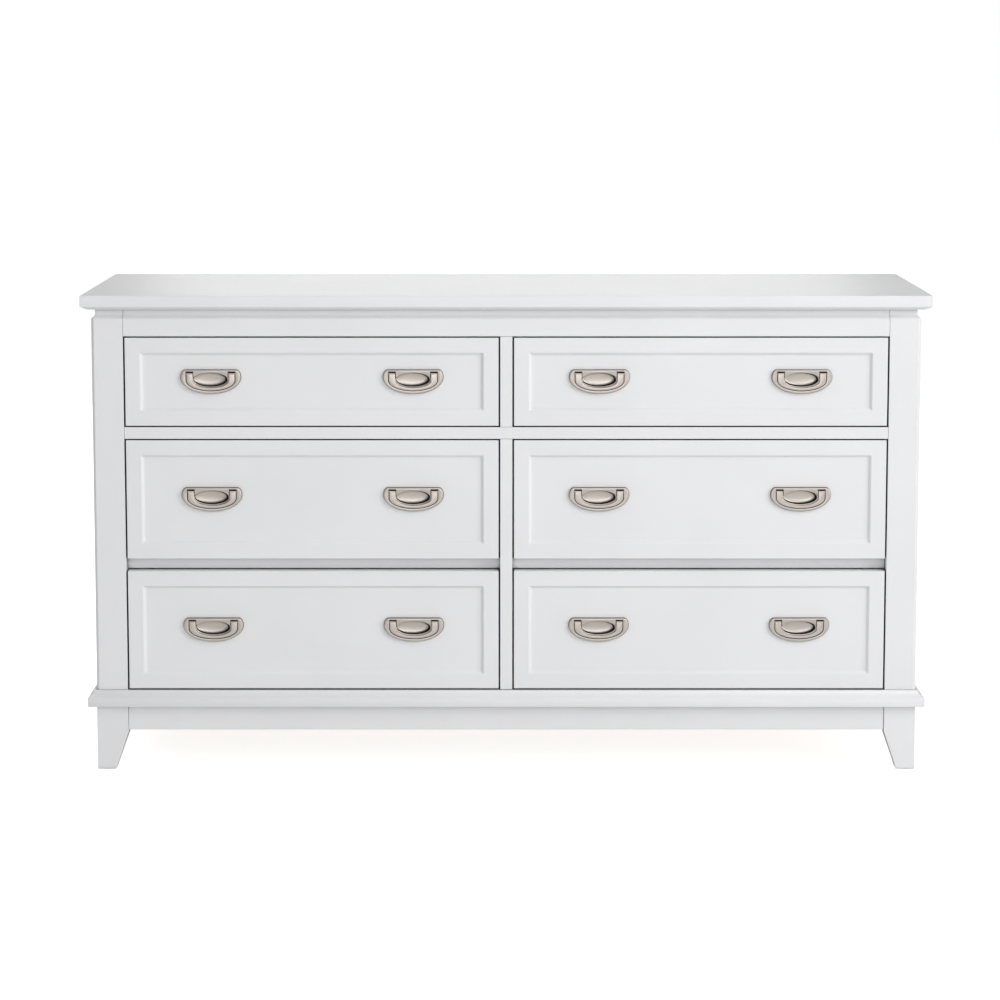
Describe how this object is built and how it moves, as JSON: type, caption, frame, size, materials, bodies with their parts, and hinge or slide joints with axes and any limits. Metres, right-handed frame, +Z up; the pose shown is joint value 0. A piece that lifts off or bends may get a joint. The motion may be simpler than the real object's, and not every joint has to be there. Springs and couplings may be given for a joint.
{
  "type": "six-drawer double dresser",
  "caption": "Painted double dresser with an overhanging top, inset panelled drawers on slides, drop-bail pulls, a moulded base and tapered feet.",
  "frame": {"origin": "on the floor, at the middle of the footprint", "axes": "+X to the right seen from the front, -Y out of the drawer fronts, +Z up"},
  "size_m": [1.5, 0.485, 0.855],
  "materials": {
    "painted_wood": "semi-gloss white paint",
    "drawer_box_wood": "clear-sealed pale wood",
    "panel_board": "unfinished thin board",
    "satin_nickel": "satin nickel plate"
  },
  "bodies": {
    "carcass": {"top_panel": "painted_wood", "post_front_left": "painted_wood", "post_front_right": "painted_wood", "post_rear_left": "painted_wood", "post_rear_right": "painted_wood", "side_panel_left": "painted_wood", "side_panel_right": "painted_wood", "back_panel": "panel_board", "top_rail": "painted_wood", "mid_rail": "painted_wood", "apron": "painted_wood", "stile_upper": "painted_wood", "stile_lower": "painted_wood", "centre_partition": "panel_board", "base_moulding": "painted_wood", "dust_frame_upper": "painted_wood", "dust_frame_middle": "painted_wood", "dust_frame_lower": "painted_wood"},
    "bail_upper_left_outer": {"pull_bail_upper_left_outer": "satin_nickel"},
    "bail_upper_left_inner": {"pull_bail_upper_left_inner": "satin_nickel"},
    "drawer_upper_left": {"drawer_front_upper_left": "painted_wood", "drawer_box_upper_left": "drawer_box_wood", "drawer_bottom_upper_left": "panel_board", "pull_plate_upper_left_outer": "satin_nickel", "pull_plate_upper_left_inner": "satin_nickel"},
    "bail_upper_right_outer": {"pull_bail_upper_right_outer": "satin_nickel"},
    "bail_upper_right_inner": {"pull_bail_upper_right_inner": "satin_nickel"},
    "drawer_upper_right": {"drawer_front_upper_right": "painted_wood", "drawer_box_upper_right": "drawer_box_wood", "drawer_bottom_upper_right": "panel_board", "pull_plate_upper_right_outer": "satin_nickel", "pull_plate_upper_right_inner": "satin_nickel"},
    "bail_middle_left_outer": {"pull_bail_middle_left_outer": "satin_nickel"},
    "bail_middle_left_inner": {"pull_bail_middle_left_inner": "satin_nickel"},
    "drawer_middle_left": {"drawer_front_middle_left": "painted_wood", "drawer_box_middle_left": "drawer_box_wood", "drawer_bottom_middle_left": "panel_board", "pull_plate_middle_left_outer": "satin_nickel", "pull_plate_middle_left_inner": "satin_nickel"},
    "bail_middle_right_outer": {"pull_bail_middle_right_outer": "satin_nickel"},
    "bail_middle_right_inner": {"pull_bail_middle_right_inner": "satin_nickel"},
    "drawer_middle_right": {"drawer_front_middle_right": "painted_wood", "drawer_box_middle_right": "drawer_box_wood", "drawer_bottom_middle_right": "panel_board", "pull_plate_middle_right_outer": "satin_nickel", "pull_plate_middle_right_inner": "satin_nickel"},
    "bail_lower_left_outer": {"pull_bail_lower_left_outer": "satin_nickel"},
    "bail_lower_left_inner": {"pull_bail_lower_left_inner": "satin_nickel"},
    "drawer_lower_left": {"drawer_front_lower_left": "painted_wood", "drawer_box_lower_left": "drawer_box_wood", "drawer_bottom_lower_left": "panel_board", "pull_plate_lower_left_outer": "satin_nickel", "pull_plate_lower_left_inner": "satin_nickel"},
    "bail_lower_right_outer": {"pull_bail_lower_right_outer": "satin_nickel"},
    "bail_lower_right_inner": {"pull_bail_lower_right_inner": "satin_nickel"},
    "drawer_lower_right": {"drawer_front_lower_right": "painted_wood", "drawer_box_lower_right": "drawer_box_wood", "drawer_bottom_lower_right": "panel_board", "pull_plate_lower_right_outer": "satin_nickel", "pull_plate_lower_right_inner": "satin_nickel"}
  },
  "joints": [
    {"name": "drawer_upper_left_slide", "type": "slide", "parent": "carcass", "child": "drawer_upper_left", "axis": [0, -1, 0], "range_m": [0, 0.33]},
    {"name": "bail_upper_left_outer_swing", "type": "hinge", "parent": "drawer_upper_left", "child": "bail_upper_left_outer", "pos_m": [-0.52287, -0.2242, 0.71475], "axis": [-1, 0, 0], "range_deg": [0, 90]},
    {"name": "bail_upper_left_inner_swing", "type": "hinge", "parent": "drawer_upper_left", "child": "bail_upper_left_inner", "pos_m": [-0.16487, -0.2242, 0.71475], "axis": [-1, 0, 0], "range_deg": [0, 90]},
    {"name": "drawer_upper_right_slide", "type": "slide", "parent": "carcass", "child": "drawer_upper_right", "axis": [0, -1, 0], "range_m": [0, 0.33]},
    {"name": "bail_upper_right_outer_swing", "type": "hinge", "parent": "drawer_upper_right", "child": "bail_upper_right_outer", "pos_m": [0.52287, -0.2242, 0.71475], "axis": [-1, 0, 0], "range_deg": [0, 90]},
    {"name": "bail_upper_right_inner_swing", "type": "hinge", "parent": "drawer_upper_right", "child": "bail_upper_right_inner", "pos_m": [0.16487, -0.2242, 0.71475], "axis": [-1, 0, 0], "range_deg": [0, 90]},
    {"name": "drawer_middle_left_slide", "type": "slide", "parent": "carcass", "child": "drawer_middle_left", "axis": [0, -1, 0], "range_m": [0, 0.33]},
    {"name": "bail_middle_left_outer_swing", "type": "hinge", "parent": "drawer_middle_left", "child": "bail_middle_left_outer", "pos_m": [-0.52287, -0.2242, 0.50425], "axis": [-1, 0, 0], "range_deg": [0, 90]},
    {"name": "bail_middle_left_inner_swing", "type": "hinge", "parent": "drawer_middle_left", "child": "bail_middle_left_inner", "pos_m": [-0.16487, -0.2242, 0.50425], "axis": [-1, 0, 0], "range_deg": [0, 90]},
    {"name": "drawer_middle_right_slide", "type": "slide", "parent": "carcass", "child": "drawer_middle_right", "axis": [0, -1, 0], "range_m": [0, 0.33]},
    {"name": "bail_middle_right_outer_swing", "type": "hinge", "parent": "drawer_middle_right", "child": "bail_middle_right_outer", "pos_m": [0.52287, -0.2242, 0.50425], "axis": [-1, 0, 0], "range_deg": [0, 90]},
    {"name": "bail_middle_right_inner_swing", "type": "hinge", "parent": "drawer_middle_right", "child": "bail_middle_right_inner", "pos_m": [0.16487, -0.2242, 0.50425], "axis": [-1, 0, 0], "range_deg": [0, 90]},
    {"name": "drawer_lower_left_slide", "type": "slide", "parent": "carcass", "child": "drawer_lower_left", "axis": [0, -1, 0], "range_m": [0, 0.33]},
    {"name": "bail_lower_left_outer_swing", "type": "hinge", "parent": "drawer_lower_left", "child": "bail_lower_left_outer", "pos_m": [-0.52287, -0.2242, 0.26875], "axis": [-1, 0, 0], "range_deg": [0, 90]},
    {"name": "bail_lower_left_inner_swing", "type": "hinge", "parent": "drawer_lower_left", "child": "bail_lower_left_inner", "pos_m": [-0.16487, -0.2242, 0.26875], "axis": [-1, 0, 0], "range_deg": [0, 90]},
    {"name": "drawer_lower_right_slide", "type": "slide", "parent": "carcass", "child": "drawer_lower_right", "axis": [0, -1, 0], "range_m": [0, 0.33]},
    {"name": "bail_lower_right_outer_swing", "type": "hinge", "parent": "drawer_lower_right", "child": "bail_lower_right_outer", "pos_m": [0.52287, -0.2242, 0.26875], "axis": [-1, 0, 0], "range_deg": [0, 90]},
    {"name": "bail_lower_right_inner_swing", "type": "hinge", "parent": "drawer_lower_right", "child": "bail_lower_right_inner", "pos_m": [0.16487, -0.2242, 0.26875], "axis": [-1, 0, 0], "range_deg": [0, 90]}
  ]
}
